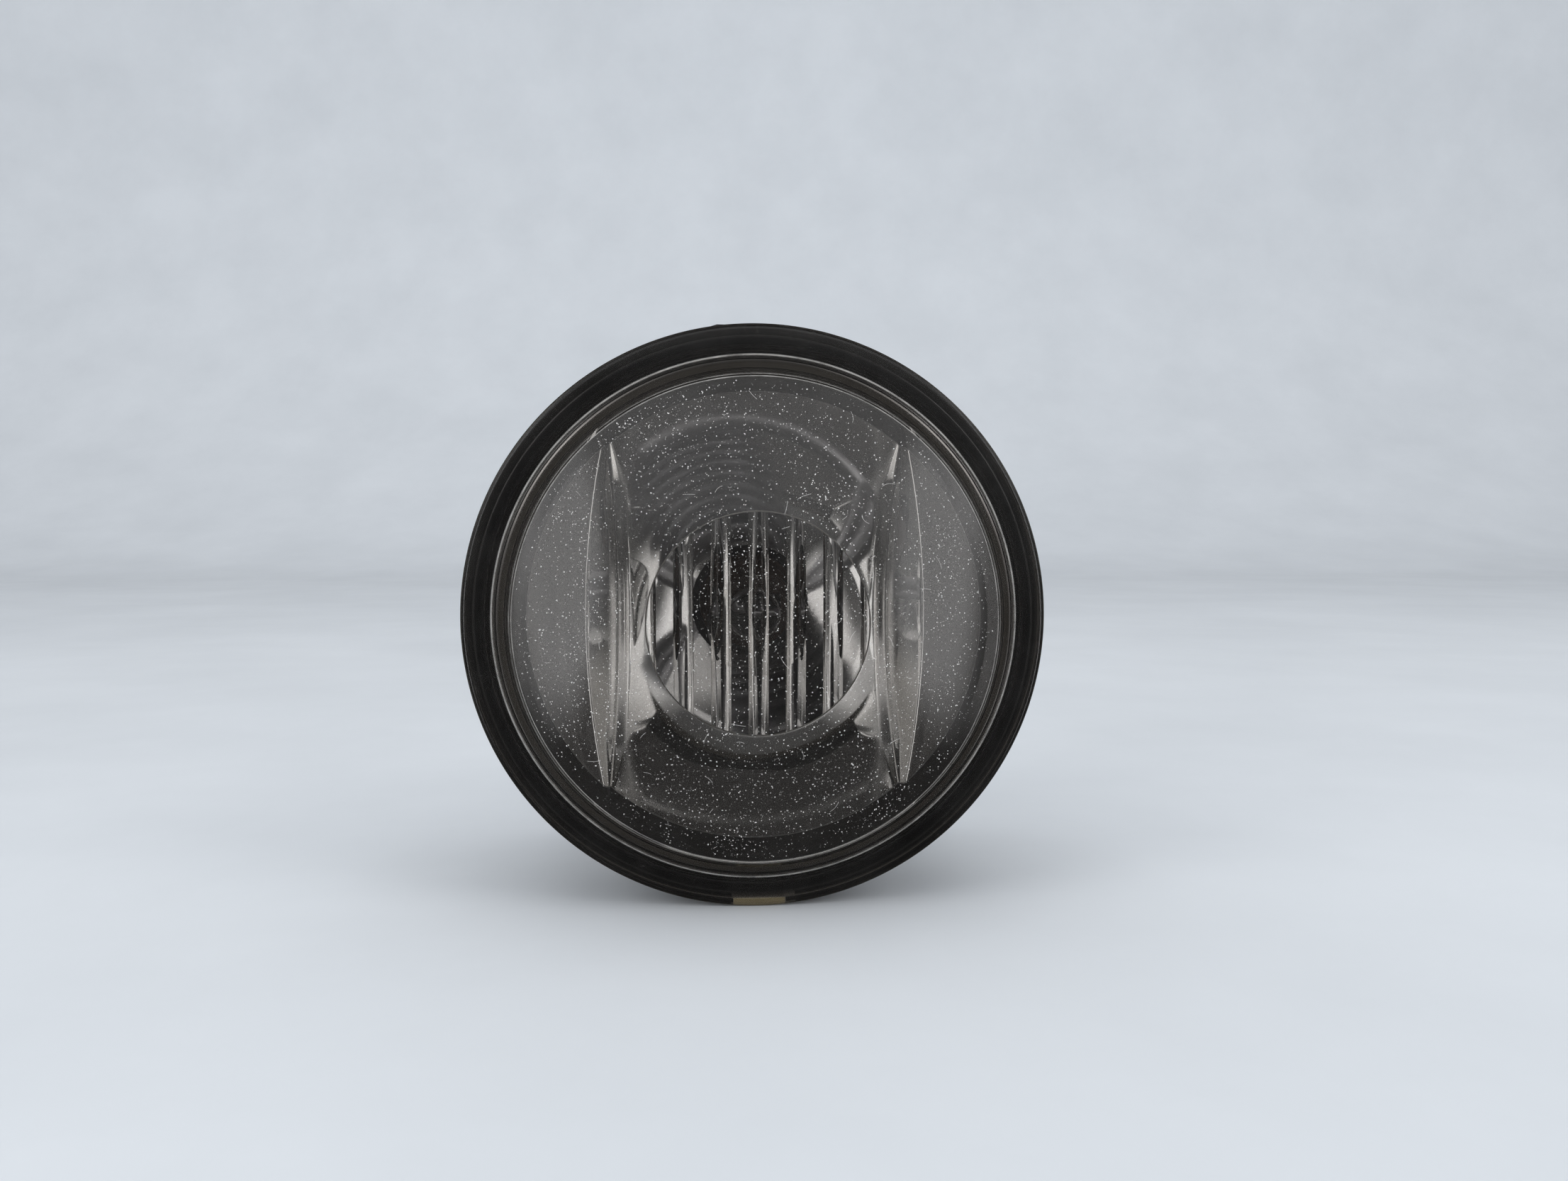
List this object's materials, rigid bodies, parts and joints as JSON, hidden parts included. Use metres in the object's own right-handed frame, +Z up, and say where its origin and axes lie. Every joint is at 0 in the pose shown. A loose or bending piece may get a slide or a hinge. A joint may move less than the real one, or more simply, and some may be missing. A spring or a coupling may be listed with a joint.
{
  "type": "fog light",
  "caption": "Round fog light with a domed, centrally fluted lens, bowl reflector and twist-in bulb, tilting in a steel yoke bracket aimed by a screw.",
  "frame": {"origin": "centre of the bracket's four bolt holes, on its rear face", "axes": "the lens faces -Y, +Y points back out of the rear face towards the plug, +Z is up and +X is to the right as seen from in front of the lens"},
  "size_m": [0.09, 0.073, 0.0907],
  "materials": {
    "lens": "clear moulded glass, fluted disc inside",
    "sealant": "cured black sealant",
    "reflector": "aluminised plastic",
    "housing": "moulded black, fine grain",
    "bushing": "natural acetal",
    "elbow": "moulded rubber",
    "filter": "felt plug",
    "base": "glass-filled nylon",
    "collar": "stamped, dark phosphate",
    "bulb_glass": "clear quartz",
    "filament": "tungsten coil",
    "leads": "drawn wire",
    "seal": "silicone",
    "blades": "tin-plated brass",
    "bracket": "zinc-plated pressing",
    "pin": "zinc-plated, headed",
    "screw": "yellow zinc plate",
    "nut": "natural nylon"
  },
  "bodies": {
    "bracket_body": {"bracket": "bracket", "pivot_pin_left": "pin", "pivot_pin_right": "pin", "pivot_washers": "pin", "screw_bushing": "bushing"},
    "lamp_body": {"lens": "lens", "lens_sealant": "sealant", "reflector": "reflector", "housing": "housing", "pivot_bushing_left": "bushing", "pivot_bushing_right": "bushing", "vent_elbow_upper": "elbow", "vent_elbow_lower": "elbow", "vent_filters": "filter"},
    "bulb_body": {"bulb_base": "base", "bulb_collar": "collar", "bulb_glass": "bulb_glass", "bulb_filament": "filament", "bulb_leads": "leads", "bulb_seal": "seal", "bulb_terminals": "blades"},
    "screw_body": {"aim_screw": "screw", "screw_clip": "pin"},
    "nut_body": {"aim_nut": "nut"}
  },
  "joints": [
    {"name": "aim_tilt", "type": "hinge", "parent": "bracket_body", "child": "lamp_body", "pos_m": [0, -0.028, 0], "axis": [1, 0, 0], "range_deg": [-4, 4]},
    {"name": "aim_screw_turn", "type": "hinge", "parent": "bracket_body", "child": "screw_body", "pos_m": [0, 0, -0.036], "axis": [0, 1, 0], "range_deg": [-900, 900]},
    {"name": "nut_swivel", "type": "hinge", "parent": "lamp_body", "child": "nut_body", "pos_m": [0, -0.028, -0.036], "axis": [1, 0, 0], "range_deg": [-4, 4]},
    {"name": "bulb_twist", "type": "hinge", "parent": "lamp_body", "child": "bulb_body", "pos_m": [0, -0.012, 0], "axis": [0, -1, 0], "range_deg": [0, 45]}
  ],
  "couplings": [
    {"joint": "aim_tilt", "follows": "aim_screw_turn", "ratio": -0.004421},
    {"joint": "nut_swivel", "follows": "aim_screw_turn", "ratio": 0.004421}
  ]
}
